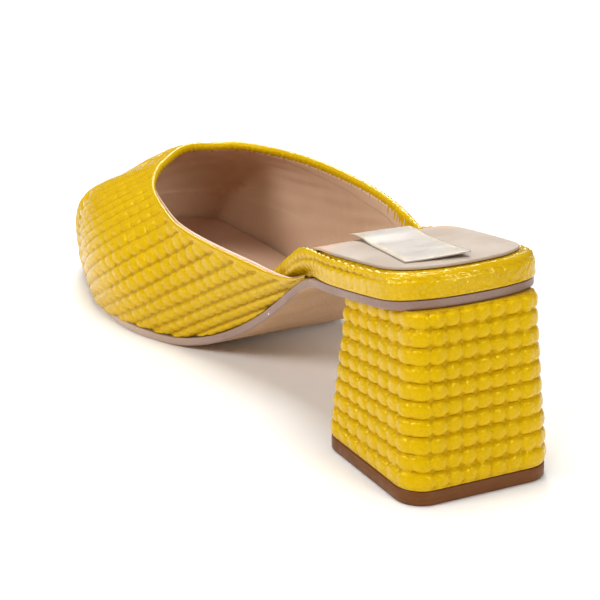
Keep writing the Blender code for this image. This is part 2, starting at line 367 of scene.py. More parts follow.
@dataclass(frozen=True)
class WovenEmboss:
    """Rounded squares pressed into the leather, in rows with deep channels between them.

    A square's length runs along its row, and the waist is how far the row dips between two squares.
    """

    square: float
    depth: float
    waist: float
    waist_power: float
    fullness: float
    scallop: float = 0.0
    roundness: float = 2.3
    slant: float = 0.0
    stagger: float = 0.0
    high_crest: float = 1.0
    wander: float = 0.06
    shift: float = 0.05
    unevenness: float = 0.08
    domed: bool = False

    def relief(self, across: Array, along: Array, joined: Array | float = 0.0) -> Array:
        """Height of the pattern, from 0 in a channel to about 1 on a square.

        Args:
            across: Distance over the rows, in rows.
            along: Distance along the rows, in squares.
            joined: Share by which neighbours in a row run together.

        Returns:
            The height, shaped as the two distances.
        """
        sway = self.wander * np.sin(along * 0.73 + across * 1.9) * np.sin(across * 0.41 + 1.3)
        across = across + sway * 0.4
        row = np.floor(across)
        along = along + self.shift * jitter(row, row * 0, 3.0) + sway + self.slant * (across - row - 0.5)
        along = along + self.stagger * np.mod(row, 2)
        square = np.floor(along)
        over = np.abs(2 * (across - row) ** self.high_crest - 1)
        beside = np.abs(2 * (along - square) - 1)
        if self.domed:
            fall = over**self.roundness + self.waist * (1 - joined) * beside**self.waist_power
            crown, notch = np.clip(1 - fall, 0, 1) ** self.fullness, 1.0
        else:
            narrowed = np.minimum(1.0, over * (1 + self.scallop * beside**3))
            crown = (1 - narrowed**self.roundness) ** self.fullness
            notch = 1 - self.waist * (1 - (1 - beside**self.waist_power) ** self.fullness)
            notch = notch + (1 - notch) * joined
        tall = 1 + self.unevenness * jitter(row, square, 1.0)
        lean = self.unevenness * jitter(row, square, 2.0) * (2 * (along - square) - 1)
        return crown * (notch * tall + lean)


# --------------------------------------------------------------------------- meshes


def placed(name: str, data: bpy.types.ID) -> bpy.types.Object:
    """A new object in the scene."""
    obj = bpy.data.objects.new(name, data)
    bpy.context.scene.collection.objects.link(obj)
    return obj


def grid_object(name: str, points: Array) -> bpy.types.Object:
    """A grid bent through points.

    Args:
        name: The piece's name.
        points: Its places in millimetres, (rows + 1, columns + 1, 3).

    Returns:
        The new object, in the scene.
    """
    made = bmesh.new()
    bmesh.ops.create_grid(made, x_segments=points.shape[1] - 1, y_segments=points.shape[0] - 1, size=0.5)
    mesh = bpy.data.meshes.new(name)
    made.to_mesh(mesh)
    made.free()
    mesh.vertices.foreach_set("co", in_frame(points).astype(np.float32).ravel())
    mesh.update()
    return placed(name, mesh)


def in_frame(points: Array) -> Array:
    """Millimetres of the shoemaker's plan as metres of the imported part's frame."""
    return (points - np.array([0.0, ORIGIN_BACK, 0.0])) * MM


def paint(obj: bpy.types.Object, shade: Shade, values: Array) -> None:
    """Stores a value for each vertex, which the finishes read.

    Args:
        obj: The piece.
        shade: The attribute's name.
        values: One number for each vertex, in the grid's order.
    """
    layer = obj.data.attributes.new(shade.value, "FLOAT", "POINT")
    layer.data.foreach_set("value", np.ascontiguousarray(values, np.float32).ravel())


def close_loop(obj: bpy.types.Object) -> bpy.types.Object:
    """Joins a rolled-up grid's seam, fills its open ends and points its faces outward.

    Args:
        obj: The piece, whose first and last columns coincide.

    Returns:
        The same piece.
    """
    made = bmesh.new()
    made.from_mesh(obj.data)
    bmesh.ops.remove_doubles(made, verts=made.verts, dist=WELD)
    open_edges = [edge for edge in made.edges if edge.is_boundary]
    if open_edges:
        bmesh.ops.holes_fill(made, edges=open_edges, sides=0)
    bmesh.ops.recalc_face_normals(made, faces=made.faces)
    made.to_mesh(obj.data)
    made.free()
    return obj


def shade_smooth(obj: bpy.types.Object, angle: float | None = None) -> None:
    """Smooth shading, with sharp edges past an angle in degrees where one is given."""
    obj.data.shade_smooth()
    if angle is not None:
        obj.data.set_sharp_from_angle(angle=math.radians(angle))


def finish_piece(obj: bpy.types.Object, node: str, *materials: bpy.types.Material) -> None:
    """Gives a piece its materials and its body, and hides the part node it stands in for.

    Args:
        obj: The piece.
        node: The part node that the piece stands in for.
        materials: The piece's materials, in order.
    """
    for made in materials:
        obj.data.materials.append(made)
    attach(obj, BODY)
    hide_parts(node)
    LOG.info("%s: %d faces", obj.name, len(obj.data.polygons))


def resampled(points: Array, distances: Array) -> Array:
    """Places on each column of a grid at given distances along it.

    Args:
        points: (fine rows, columns, 3).
        distances: (rows, columns), in millimetres from each column's first point.

    Returns:
        (rows, columns, 3).
    """
    run = travel(points, 0)
    out = np.empty((*distances.shape, 3))
    for column in range(distances.shape[1]):
        for axis in range(3):
            out[:, column, axis] = np.interp(distances[:, column], run[:, column], points[:, column, axis])
    return out


@dataclass(frozen=True)
class VampWeave:
    """Places the vamp's rows.

    On the walls and shoulders the rows lie in planes that fan from a line beside the foot, alike on
    both sides. Over the toe cap they run round it, level with the feather edge, and the cap starts
    further back on the medial side.
    """

    line_x: float = 113.8
    line_back: float = 150.0
    line_height: float = 78.9
    splay: float = -0.635
    fall: float = 0.761
    middle_x: float = -3.0
    meeting: float = 8.0
    middle_turn: float = 74.25
    middle_row: float = -12.74
    row_rate: float = 20.85
    row_gain: float = 76.0
    even_turn: float = 15.0
    cap_sweep: float = 0.42
    cap_sweep_lateral: float = 0.1
    cap_start: float = 203.0
    cap_end: float = 219.0
    cap_first: float = -13.0
    cap_pitch: float = 4.5
    joint_side: float = -12.0

    def unrolled(self, points: Array, rises: Array) -> tuple[Array, Array]:
        """Where each place lies in the weave.

        Args:
            points: The vamp's outer face.
            rises: Distance of each place above the feather edge.

        Returns:
            The place's row, rising toward the throat, and its distance along the rows.
        """
        beside = points[..., 0] - self.middle_x
        medial = self.middle_x - beside * np.tanh(beside / self.meeting)
        fan_line = (self.line_x, self.line_back, self.line_height)
        place = np.stack([medial, points[..., 1], points[..., 2]], -1) - fan_line
        line = unit(np.array([self.splay, 1.0, -self.fall]))
        across = unit(np.array([1.0, 0.0, 0.0]) - line[0] * line)
        turn = np.degrees(np.arctan2(-place @ across, place @ np.cross(line, across))) - self.middle_turn
        even_part = np.clip(turn, -self.even_turn, self.even_turn)
        bent = np.radians(even_part)
        rate = np.radians(self.row_rate + 3 * self.row_gain * bent**2)
        row = self.middle_row + self.row_rate * bent + self.row_gain * bent**3 + rate * (turn - even_part)
        along = place @ line
        swept = np.maximum(-self.cap_sweep * beside, self.cap_sweep_lateral * beside)
        cap = smooth_step(points[..., 1] - swept, self.cap_start, self.cap_end)
        run = travel(points, 1)
        run = np.minimum(run, run[:, -1:] - run)
        edge = (cap > 0.3) & (cap < 0.7) & (beside < self.joint_side)
        run = run + (along - run)[edge].mean()
        return row + (self.cap_first + rises / self.cap_pitch - row) * cap, along + (run - along) * cap


# --------------------------------------------------------------------------- shader tools


class Bench:
    """Lays nodes in a tree and wires them."""

    def __init__(self, tree: bpy.types.NodeTree) -> None:
        """Takes the tree to work on."""
        self.tree = tree
        self.laid = 0

    def node(self, kind: str, **settings: object) -> bpy.types.Node:
        """A new node with its settings."""
        made = self.tree.nodes.new(kind)
        made.location = (180 * (self.laid % 9), -260 * (self.laid // 9))
        self.laid += 1
        for key, value in settings.items():
            setattr(made, key, value)
        return made

    def wire(self, source: object, target: bpy.types.NodeSocket) -> None:
        """Links a socket, or sets a plain value."""
        if isinstance(source, bpy.types.NodeSocket):
            self.tree.links.new(source, target)
        else:
            target.default_value = source

    def maths(self, operation: str, *values: object, clamp: bool = False) -> bpy.types.NodeSocket:
        """A Math node's result."""
        made = self.node("ShaderNodeMath", operation=operation, use_clamp=clamp)
        for value, socket in zip(values, made.inputs):
            self.wire(value, socket)
        return made.outputs[0]

    def times(self, first: object, second: object) -> bpy.types.NodeSocket:
        """The first times the second."""
        return self.maths("MULTIPLY", first, second)

    def plus(self, first: object, second: object, clamp: bool = False) -> bpy.types.NodeSocket:
        """The first and the second together."""
        return self.maths("ADD", first, second, clamp=clamp)

    def minus(self, first: object, second: object) -> bpy.types.NodeSocket:
        """The first less the second."""
        return self.maths("SUBTRACT", first, second)

    def ramp(
        self, value: object, low: object, high: object, to_low: object = 0.0, to_high: object = 1.0,
    ) -> bpy.types.NodeSocket:
        """A smooth rise from one number to another between two bounds."""
        made = self.node("ShaderNodeMapRange", interpolation_type="SMOOTHSTEP")
        for source, socket in zip((value, low, high, to_low, to_high), made.inputs):
            self.wire(source, socket)
        return made.outputs[0]

    def blend(self, share: object, first: object, second: object) -> bpy.types.NodeSocket:
        """A mix of two colours."""
        made = self.node("ShaderNodeMix", data_type="RGBA", clamp_factor=True)
        for source, index in ((share, 0), (first, 6), (second, 7)):
            self.wire(source, made.inputs[index])
        return made.outputs[2]

    def noise(
        self, place: object, scale: float, detail: float = 3.0, roughness: float = 0.55,
        distortion: float = 0.0,
    ) -> bpy.types.NodeSocket:
        """Fractal noise between 0 and 1."""
        made = self.node("ShaderNodeTexNoise")
        values = (("Vector", place), ("Scale", scale), ("Detail", detail), ("Roughness", roughness))
        for name, value in (*values, ("Distortion", distortion)):
            self.wire(value, made.inputs[name])
        return made.outputs[0]

    def cells(self, place: object, scale: object) -> bpy.types.NodeSocket:
        """Distance to the edge in a pattern of cells."""
        made = self.node("ShaderNodeTexVoronoi", feature="DISTANCE_TO_EDGE")
        self.wire(place, made.inputs["Vector"])
        self.wire(scale, made.inputs["Scale"])
        return made.outputs["Distance"]

    def swayed(self, place: object, scale: float, amount: float) -> bpy.types.NodeSocket:
        """Coordinates pushed about by noise."""
        noise = self.node("ShaderNodeTexNoise")
        self.wire(place, noise.inputs["Vector"])
        self.wire(scale, noise.inputs["Scale"])
        centred = self.node("ShaderNodeVectorMath", operation="SUBTRACT")
        self.wire(noise.outputs["Color"], centred.inputs[0])
        centred.inputs[1].default_value = (0.5, 0.5, 0.5)
        scaled = self.node("ShaderNodeVectorMath", operation="SCALE")
        self.wire(centred.outputs[0], scaled.inputs[0])
        self.wire(amount, scaled.inputs["Scale"])
        added = self.node("ShaderNodeVectorMath", operation="ADD")
        self.wire(place, added.inputs[0])
        self.wire(scaled.outputs[0], added.inputs[1])
        return added.outputs[0]

    def bump(self, height: object, distance: object) -> bpy.types.NodeSocket:
        """A normal bent by a height, whose full size is a distance in metres."""
        made = self.node("ShaderNodeBump")
        made.inputs["Strength"].default_value = 1.0
        self.wire(distance, made.inputs["Distance"])
        self.wire(height, made.inputs["Height"])
        return made.outputs[0]

    def shade(self, shade: Shade) -> bpy.types.NodeSocket:
        """A vertex attribute of the piece."""
        return self.node("ShaderNodeAttribute", attribute_name=shade.value).outputs["Fac"]

    def shared(
        self, tree: bpy.types.NodeTree, place: object, shader: bpy.types.Node, **values: object,
    ) -> bpy.types.Node:
        """A shared group that gives a shader its roughness and its normal.

        Args:
            tree: The group.
            place: Its coordinates.
            shader: The shader.
            values: Its other inputs by name, where a tuple is a colour.

        Returns:
            The group's node.
        """
        group = self.node("ShaderNodeGroup", node_tree=tree)
        self.wire(place, group.inputs["Place"])
        for key, value in values.items():
            self.wire(rgba(value) if isinstance(value, tuple) else value, group.inputs[key])
        for key in ("Roughness", "Normal"):
            self.wire(group.outputs[key], shader.inputs[key])
        return group


def new_group(name: str, inputs: dict[str, object]) -> tuple[bpy.types.NodeTree, Bench, object, object]:
    """A shader node group that puts out a colour, a roughness and a normal.

    Args:
        name: The group's name.
        inputs: Names and default values: a tuple is a colour, a number a float and None a vector.

    Returns:
        The tree, a bench for it, what it is given and what it puts out.
    """
    tree = bpy.data.node_groups.new(name, "ShaderNodeTree")
    for key, value in inputs.items():
        kind = "Vector" if value is None else "Color" if isinstance(value, tuple) else "Float"
        socket = tree.interface.new_socket(key, in_out="INPUT", socket_type="NodeSocket" + kind)
        if value is not None:
            socket.default_value = value
    for key, kind in (("Color", "Color"), ("Roughness", "Float"), ("Normal", "Vector")):
        tree.interface.new_socket(key, in_out="OUTPUT", socket_type="NodeSocket" + kind)
    bench = Bench(tree)
    return tree, bench, bench.node("NodeGroupInput").outputs, bench.node("NodeGroupOutput").inputs


class Groups:
    """The shader node groups that several finishes share, built once."""

    def __init__(self) -> None:
        """Builds every group."""
        self.hide = self.varnished_hide()
        self.grain = self.leather_grain()

    def varnished_hide(self) -> bpy.types.NodeTree:
        """Glossy crinkled leather: painted shade darkens its channels and its fine creases, and it is
        brighter on its crowns.
        """
        tree, bench, given, out = new_group(
            "VarnishedHide",
            {
                "Place": None,
                "Relief": 1.0,
                "Crown": (0.8, 0.5, 0.02, 1.0),
                "Channel": (0.5, 0.25, 0.01, 1.0),
                "Crinkle": 0.00006,
                "Smoothest": 0.2,
                "Roughest": 0.42,
            },
        )
        place = given["Place"]
        swayed = bench.swayed(place, 420.0, 0.0012)
        creases = bench.ramp(bench.cells(swayed, 640.0), 0.0, 0.16)
        pebbles = bench.noise(swayed, 1250.0, 4.0, 0.6, 0.6)
        # Painted shade: the relief blends from the channel shade colour in the channels to the crown colour
        # on top.
        lift = bench.ramp(given["Relief"], -0.05, 0.5)
        colour = bench.blend(lift, given["Channel"], given["Crown"])
        # Darker patches at random, and painted shade along the fine creases.
        patches = bench.times(bench.ramp(bench.noise(place, 95.0), 0.38, 0.72), 0.16)
        lines = bench.times(bench.minus(1.0, creases), 0.2)
        for share in (patches, lines):
            colour = bench.blend(share, colour, given["Channel"])
        bench.wire(colour, out["Color"])
        rough = bench.ramp(bench.noise(place, 260.0, 4.0), 0.3, 0.75, given["Smoothest"], given["Roughest"])
        worn = bench.times(bench.minus(1.0, lift), 0.16)
        bench.wire(bench.plus(rough, worn, clamp=True), out["Roughness"])
        height = bench.plus(bench.times(creases, 0.55), bench.times(pebbles, 0.8))
        broad = bench.noise(bench.swayed(place, 180.0, 0.003), 330.0, 2.0)
        height = bench.plus(height, bench.times(broad, 1.6))
        bench.wire(bench.bump(height, given["Crinkle"]), out["Normal"])
        return tree

    def leather_grain(self) -> bpy.types.NodeTree:
        """Dull leather: fine pores, soft patches and a light rub."""
        tree, bench, given, out = new_group(
            "LeatherGrain",
            {
                "Place": None,
                "Tone": (0.5, 0.4, 0.3, 1.0),
                "Deep": (0.35, 0.26, 0.18, 1.0),
                "Pores": 1500.0,
                "Depth": 0.00003,
                "Smoothest": 0.4,
                "Roughest": 0.65,
            },
        )
        place = given["Place"]
        pores = bench.ramp(bench.cells(bench.swayed(place, 700.0, 0.0006), given["Pores"]), 0.0, 0.22)
        patches = bench.noise(place, 60.0, 4.0, 0.6)
        flecks = bench.noise(place, 900.0, 3.0, 0.6)
        soft = bench.times(bench.ramp(patches, 0.35, 0.7), 0.4)
        share = bench.plus(soft, bench.times(bench.minus(1.0, pores), 0.25))
        share = bench.plus(share, bench.times(bench.ramp(flecks, 0.5, 0.8), 0.2), clamp=True)
        bench.wire(bench.blend(share, given["Tone"], given["Deep"]), out["Color"])
        rough = bench.ramp(patches, 0.3, 0.75, given["Smoothest"], given["Roughest"])
        bench.wire(rough, out["Roughness"])
        bench.wire(bench.bump(bench.plus(pores, bench.times(flecks, 0.9)), given["Depth"]), out["Normal"])
        return tree


def rgba(colour: Colour, share: float = 1.0) -> tuple[float, ...]:
    """A share of a linear colour, with full opacity."""
    return (*(share * part for part in colour), 1.0)


def new_material(name: str) -> tuple[bpy.types.Material, Bench, bpy.types.Node, bpy.types.NodeSocket]:
    """An empty Principled material, with its bench, its shader and its coordinates."""
    made = bpy.data.materials.new(name)
    made.use_nodes = True
    made.node_tree.nodes.clear()
    bench = Bench(made.node_tree)
    shader = bench.node("ShaderNodeBsdfPrincipled")
    end = bench.node("ShaderNodeOutputMaterial")
    bench.wire(shader.outputs[0], end.inputs["Surface"])
    return made, bench, shader, bench.node("ShaderNodeTexCoord").outputs["Object"]


@dataclass(frozen=True)
class VarnishedHide:
    """Embossed leather under a glossy finish; reads the relief attribute of its piece, which paints shade
    into its channels.
    """

    name: str
    crown: Colour = (0.66, 0.41, 0.001)
    # Colour of the painted shade in the channels.
    channel: Colour = (0.44, 0.235, 0.001)
    crinkle: float = 0.00007
    smoothest: float = 0.08
    roughest: float = 0.2
    specular: float = 0.5
    gloss_tint: Colour = (1.0, 0.84, 0.11)

    def build(self, groups: Groups) -> bpy.types.Material:
        """The finish as a material."""
        made, bench, shader, place = new_material(self.name)
        group = bench.shared(
            groups.hide, place, shader, Relief=bench.shade(Shade.RELIEF), Crown=self.crown,
            Channel=self.channel, Crinkle=self.crinkle, Smoothest=self.smoothest, Roughest=self.roughest,
        )
        bench.wire(group.outputs["Color"], shader.inputs["Base Color"])
        shader.inputs["Specular IOR Level"].default_value = self.specular
        shader.inputs["Specular Tint"].default_value = rgba(self.gloss_tint)
        return made


@dataclass(frozen=True)
class DullHide:
    """Lining, sock and sole leather, with an optional second tone for the lining's cut edge and for painted
    light and painted shade.
    """

    name: str
    tone: Colour
    deep: Colour
    pores: float = 1500.0
    depth: float = 0.00003
    smoothest: float = 0.42
    roughest: float = 0.65
    # Second tone: the colour of the lining's cut edge, and of painted light and painted shade.
    cut_edge_and_painted_light: Colour | None = None
    speck: Colour | None = None

    def build(self, groups: Groups) -> bpy.types.Material:
        """The finish as a material."""
        made, bench, shader, place = new_material(self.name)
        group = bench.shared(
            groups.grain, place, shader, Tone=self.tone, Deep=self.deep, Pores=self.pores, Depth=self.depth,
            Smoothest=self.smoothest, Roughest=self.roughest,
        )
        colour = group.outputs["Color"]
        # Blends in the second tone: the lining's cut edge, and painted light and painted shade.
        if self.cut_edge_and_painted_light:
            colour = bench.blend(bench.shade(Shade.CUT_EDGE_AND_PAINTED_LIGHT), colour, rgba(self.cut_edge_and_painted_light))
        if self.speck:
            dots = bench.noise(place, 520.0, 1.0, 0.4)
            colour = bench.blend(bench.ramp(dots, 0.78, 0.82), colour, rgba(self.speck))
        bench.wire(colour, shader.inputs["Base Color"])
        return made


@dataclass(frozen=True)
class BorderedCard:
    """The label's face: satin card with a line and a row of stitches inside its edge, in foil."""

    name: str
    card: Colour = (0.465, 0.405, 0.34)
    foil: Colour = (0.62, 0.45, 0.16)
    half_length: float = 25.5
    half_width: float = 10.0
    outer_line: float = 1.15
    inner_line: float = 1.85
    line_width: float = 0.26
    stitch: float = 1.7

    def build(self, groups: Groups) -> bpy.types.Material:
        """The finish as a material."""
        made, bench, shader, place = new_material(self.name)
        across, along = bench.shade(Shade.ACROSS), bench.shade(Shade.ALONG)
        beside = bench.minus(self.half_width, bench.maths("ABSOLUTE", across))
        before = bench.minus(self.half_length, bench.maths("ABSOLUTE", along))
        inside = bench.maths("MINIMUM", beside, before)
        wave = bench.maths("SINE", bench.times(bench.plus(across, along), 2 * math.pi / self.stitch))
        stitches = bench.ramp(wave, -0.5, 0.0)
        lines = None
        for middle in (self.outer_line, self.inner_line):
            away = bench.maths("ABSOLUTE", bench.minus(inside, middle))
            line = bench.ramp(away, self.line_width / 2 + 0.05, self.line_width / 2 - 0.03)
            lines = line if lines is None else bench.maths("MAXIMUM", lines, bench.times(line, stitches))
        lines = bench.times(lines, bench.ramp(bench.noise(place, 900.0), 0.3, 0.55, 0.45, 1.0))
        patches = bench.noise(place, 120.0)
        shaded = bench.times(bench.ramp(patches, 0.35, 0.7), 0.25)
        card = bench.blend(shaded, rgba(self.card), rgba(self.card, 0.86))
        bench.wire(bench.blend(lines, card, rgba(self.foil)), shader.inputs["Base Color"])
        bench.wire(bench.times(lines, 0.75), shader.inputs["Metallic"])
        bench.wire(bench.ramp(patches, 0.3, 0.7, 0.3, 0.42), shader.inputs["Roughness"])
        height = bench.minus(bench.times(bench.noise(place, 2200.0, 2.0), 0.4), lines)
        bench.wire(bench.bump(height, 0.00003), shader.inputs["Normal"])
        return made


@dataclass(frozen=True)
class StackedLeather:
    """The top piece: waxed brown leather with the faint edges of its layers."""

    name: str
    tone: Colour = (0.175, 0.056, 0.008)
    deep: Colour = (0.12, 0.038, 0.005)
    layer: float = 0.0016

    def build(self, groups: Groups) -> bpy.types.Material:
        """The finish as a material."""
        made, bench, shader, place = new_material(self.name)
        split = bench.node("ShaderNodeSeparateXYZ")
        bench.wire(bench.swayed(place, 150.0, 0.0005), split.inputs[0])
        wave = bench.maths("SINE", bench.times(split.outputs["Z"], 2 * math.pi / self.layer))
        layers = bench.ramp(wave, 0.55, 0.95)
        patches = bench.noise(place, 260.0, 4.0)
        share = bench.plus(bench.times(layers, 0.2), bench.times(patches, 0.5), clamp=True)
        bench.wire(bench.blend(share, rgba(self.tone), rgba(self.deep)), shader.inputs["Base Color"])
        bench.wire(bench.ramp(patches, 0.3, 0.7, 0.32, 0.52), shader.inputs["Roughness"])
        height = bench.minus(bench.times(bench.noise(place, 1600.0), 0.6), layers)
        bench.wire(bench.bump(height, 0.00005), shader.inputs["Normal"])
        shader.inputs["Specular IOR Level"].default_value = 0.25
        return made


VAMP_HIDE = VarnishedHide("vamp_hide")
RAND_HIDE = VarnishedHide(
    "rand_hide", crinkle=0.00005, smoothest=0.08, roughest=0.18, specular=0.6, gloss_tint=(1.0, 0.86, 0.42),
)
# The heel's painted shade in its channels is lighter.
HEEL_HIDE = VarnishedHide("heel_hide", channel=(0.53, 0.305, 0.001))
# Its second tone is the cut edge's colour, and also painted light on the inner face.
LINING_HIDE = DullHide("lining_hide", (0.62, 0.41, 0.255), (0.53, 0.335, 0.20), cut_edge_and_painted_light=(0.90, 0.66, 0.52))
# Its second tone is painted shade: a warmer brown over the sock's front, inside the shoe.
SOCK_HIDE = DullHide(
    "sock_hide", (0.445, 0.35, 0.27), (0.40, 0.305, 0.225),
    depth=0.00002, smoothest=0.5, roughest=0.7, cut_edge_and_painted_light=(0.56, 0.36, 0.24),
)
# Its second tone is painted light: a paler edge towards the toe.
SOLE_EDGE = DullHide(
    "sole_edge", (0.31, 0.20, 0.165), (0.235, 0.145, 0.12),
    pores=900.0, smoothest=0.35, roughest=0.55, cut_edge_and_painted_light=(0.56, 0.42, 0.32), speck=(0.85, 0.78, 0.72),
)
SOLE_UNDER = DullHide("sole_under", (0.53, 0.325, 0.175), (0.44, 0.255, 0.135), pores=800.0, depth=0.00005)
LABEL_CARD = BorderedCard("label_card")
HEEL_LEATHER = StackedLeather("heel_leather")


# --------------------------------------------------------------------------- sub-assemblies


@dataclass(frozen=True)
class Vamp:
    """The closed-toe upper: an embossed skin rolled over at the topline and a lining within it."""

    last: Last
    emboss: WovenEmboss = WovenEmboss(
        square=4.95, depth=1.35, waist=0.42, waist_power=2.2, scallop=0.2, roundness=2.3, fullness=0.6,
        slant=-0.25, stagger=0.62, high_crest=1.45,
    )
    weave: VampWeave = VampWeave()
    square_phase: float = 0.57
    lining_thick: float = 1.0
    columns: int = 640
    face_rows: int = 134
    rim_rows: int = 9
    feather_tuck: float = 1.2
    droop: float = 1.5
    droop_span: tuple[float, float] = (160.0, 200.0)
    plain_band: float = 2.2
    throat_band: float = 1.7
    crown_level: float = 0.8
    worn: float = 0.25
    worn_joined: float = 0.7
    worn_rows: tuple[float, float] = (-13.0, -9.5)
    worn_run: tuple[float, float] = (112.0, 140.0)
    fold_span: tuple[float, float] = (0.66, 1.0)
    roll_radius: float = 1.45
    turn_in: float = 2.0
    gather: float = 0.2
    crease_height: float = 25.0
    tape_depth: float = 0.3
    toe_depth: float = 0.45
    fold_depth: float = 0.22
    lining_columns: int = 460
    lining_rows: int = 96
    lining_gap: float = 0.06
    fold_gap: float = 0.3
    fold_fullness: float = 0.08
    fine_places: int = 1501
    fine_rows: int = 90

    def folded(self, along: Array) -> Array:
        """Share of the topline's fold: 0 on the medial side, where the cut edges show, and 1 beyond."""
        return smooth_step(along, *self.fold_span)

    def column_places(self, count: int) -> Array:
        """Places along the edge at equal distances at half height."""
        fine = np.linspace(0, 3, self.fine_places)
        run = travel(self.last.upper_face(fine, np.array([0.5]))[0], 0)
        return np.interp(np.linspace(0, run[-1], count), run, fine)

    def face(self, along: Array) -> tuple[Array, Array]:
        """Fine columns of the outer face and each column's length."""
        fine = self.last.upper_face(along, np.linspace(0, 1, self.fine_rows))
        return fine, travel(fine, 0)[-1]

    def outward(self, points: Array) -> Array:
        """Unit normals of the outer face, away from the foot."""
        return unit(np.cross(np.gradient(points, axis=0), np.gradient(points, axis=1)))

    def rolled(self, points: Array, normal: Array, radius: Array, depth: Array, inside: Array) -> Array:
        """The rim over the topline and the rows that run down inside.

        Args:
            points: The columns up to the rim, (rows, columns, 3).
            normal: The outward normal of each column at the rim.
            radius: Rim radius at each column.
            depth: Depth of the rim's outer side below the outer face.
            inside: Distances down the inside, (rows, columns).

        Returns:
            Rim rows followed by inside rows.
        """
        up = unit(points[-1] - points[-3])
        centre = points[-1] - normal * (depth + radius)[:, None]
        turns = np.linspace(0, math.pi, self.rim_rows + 1)[1:, None, None]
        rim = centre + radius[:, None] * (np.cos(turns) * normal + np.sin(turns) * up)
        down = centre - radius[:, None] * normal - inside[..., None] * up
        return np.concatenate([rim, down], 0)

    def relief(self, points: Array, rises: Array, lengths: Array, along: Array) -> tuple[Array, Array]:
        """The emboss over the face and how far it is let out.

        Args:
            points: The outer face.
            rises: Distance of each row above the feather edge.
            lengths: Height of each column.
            along: Place of each column.

        Returns:
            The relief, and its share from 0 by the topline to 1.
        """
        row, run = self.weave.unrolled(points, rises)
        far = np.maximum(smooth_step(row, *self.worn_rows), smooth_step(run, *self.worn_run))
        squares = run / self.emboss.square + self.square_phase
        pattern = self.emboss.relief(row, squares, self.worn_joined * far)
        near_throat = smooth_step(1 - np.abs(along - 1.5) / 0.7, 0.0, 1.0)
        plain = self.plain_band + (self.throat_band - self.plain_band) * near_throat
        share = smooth_step(lengths - rises, plain - 1.1, plain + 0.7) * smooth_step(lengths, 3.0, 9.0)
        return pattern, share * (1 - self.worn * far)

    def puckered(self, points: Array, along: Array) -> Array:
        """Small gathers across the folded topline, from -1 to 1."""
        seam = travel(points, 1)
        gathers = np.sin(seam * 2.3 + 1.5 * np.sin(seam * 0.31)) * (0.6 + 0.4 * np.sin(seam * 0.83 + 1.0))
        return gathers * (0.35 + 0.65 * self.folded(along))

    def skin(self) -> bpy.types.Object:
        """The embossed outer layer, rolled over the topline and turned in at the feather edge."""
        along = self.column_places(self.columns + 1)
        fine, lengths = self.face(along)
        share_of_wall = self.last.wall_share(along)
        fold = self.folded(along)
        half = 0.5 * (self.last.wall - self.lining_thick)
        radius = (half * (1 - fold) + self.roll_radius * fold) * share_of_wall
        top = np.maximum(lengths - radius, lengths * 0.4)
        rises = np.linspace(0, 1, self.face_rows)[:, None] * top
        points = resampled(fine, rises)
        by_toe = smooth_step(points[:1, :, 1], *self.droop_span)
        points[..., 2] -= self.droop * by_toe * (1 - smooth_step(rises, 0.0, 9.0))
        normals = self.outward(points)
        pattern, share = self.relief(points, rises, lengths, along)
        by_rim = (1 - share) * smooth_step(rises, 0.0, 3.0)
        lift = self.emboss.depth * (pattern - self.crown_level) * share
        lift += self.gather * self.puckered(points, along) * by_rim
        low = np.linspace(1, 0, 4)[:-1, None, None] * self.feather_tuck * share_of_wall[:, None]
        tucked = points[:1] - normals[:1] * low
        raised = points + normals * lift[..., None]
        inside = np.linspace(0, 1, 5)[1:, None] * np.minimum(1.0 + (self.turn_in + 0.6) * fold, 0.4 * lengths)
        at_rim = self.puckered(points[-1:], along)
        swollen = radius * (1 + 0.4 * self.gather * at_rim[0] * fold)
        rim = self.rolled(points, normals[-1], swollen, lift[-1] * 0, inside)
        whole = np.concatenate([tucked, raised, rim], 0)
        # Painted shade: the relief darkens the channels, and the rim is painted darker where the topline is
        # not folded.
        plain = np.repeat((0.3 + 0.6 * fold)[None], len(rim), 0) + 0.1 * at_rim
        shade = np.concatenate([np.repeat(pattern[:1], 3, 0), pattern * share + 0.9 * (1 - share), plain], 0)
        obj = grid_object("vamp_skin", whole)
        paint(obj, Shade.RELIEF, shade)
        obj.data.flip_normals()
        shade_smooth(obj)
        return obj

    def creased(self, inner: Array, below: Array, along: Array) -> Array:
        """Depth of the lining's creases: the tape under the topline and the toe's seam.

        Args:
            inner: The lining's inner face.
            below: Distance of each row below the lining's top.
            along: Place of each column.

        Returns:
            How far the face comes inward.
        """
        seam = travel(inner, 1)
        tape_at = 3.2 + 1.6 * smooth_step(along, 1.9, 2.6) + 0.25 * np.sin(seam * 0.17)
        tape = smooth_step(tape_at - below, -0.5, 0.5) * band(along, 1.3, 1.7, 2.65, 2.85)
        height = self.crease_height + 1.2 * np.sin(seam * 0.045) - inner[..., 2]
        toe = smooth_step(height, -0.7, 0.7) * band(along, 1.1, 1.35, 2.15, 2.4)
        folds = np.sin(seam * 0.24 + 0.12 * below) * np.sin(0.13 * below + 0.5)
        folds = folds * smooth_step(below, 4.0, 14.0)
        return self.tape_depth * tape + self.toe_depth * toe + self.fold_depth * folds

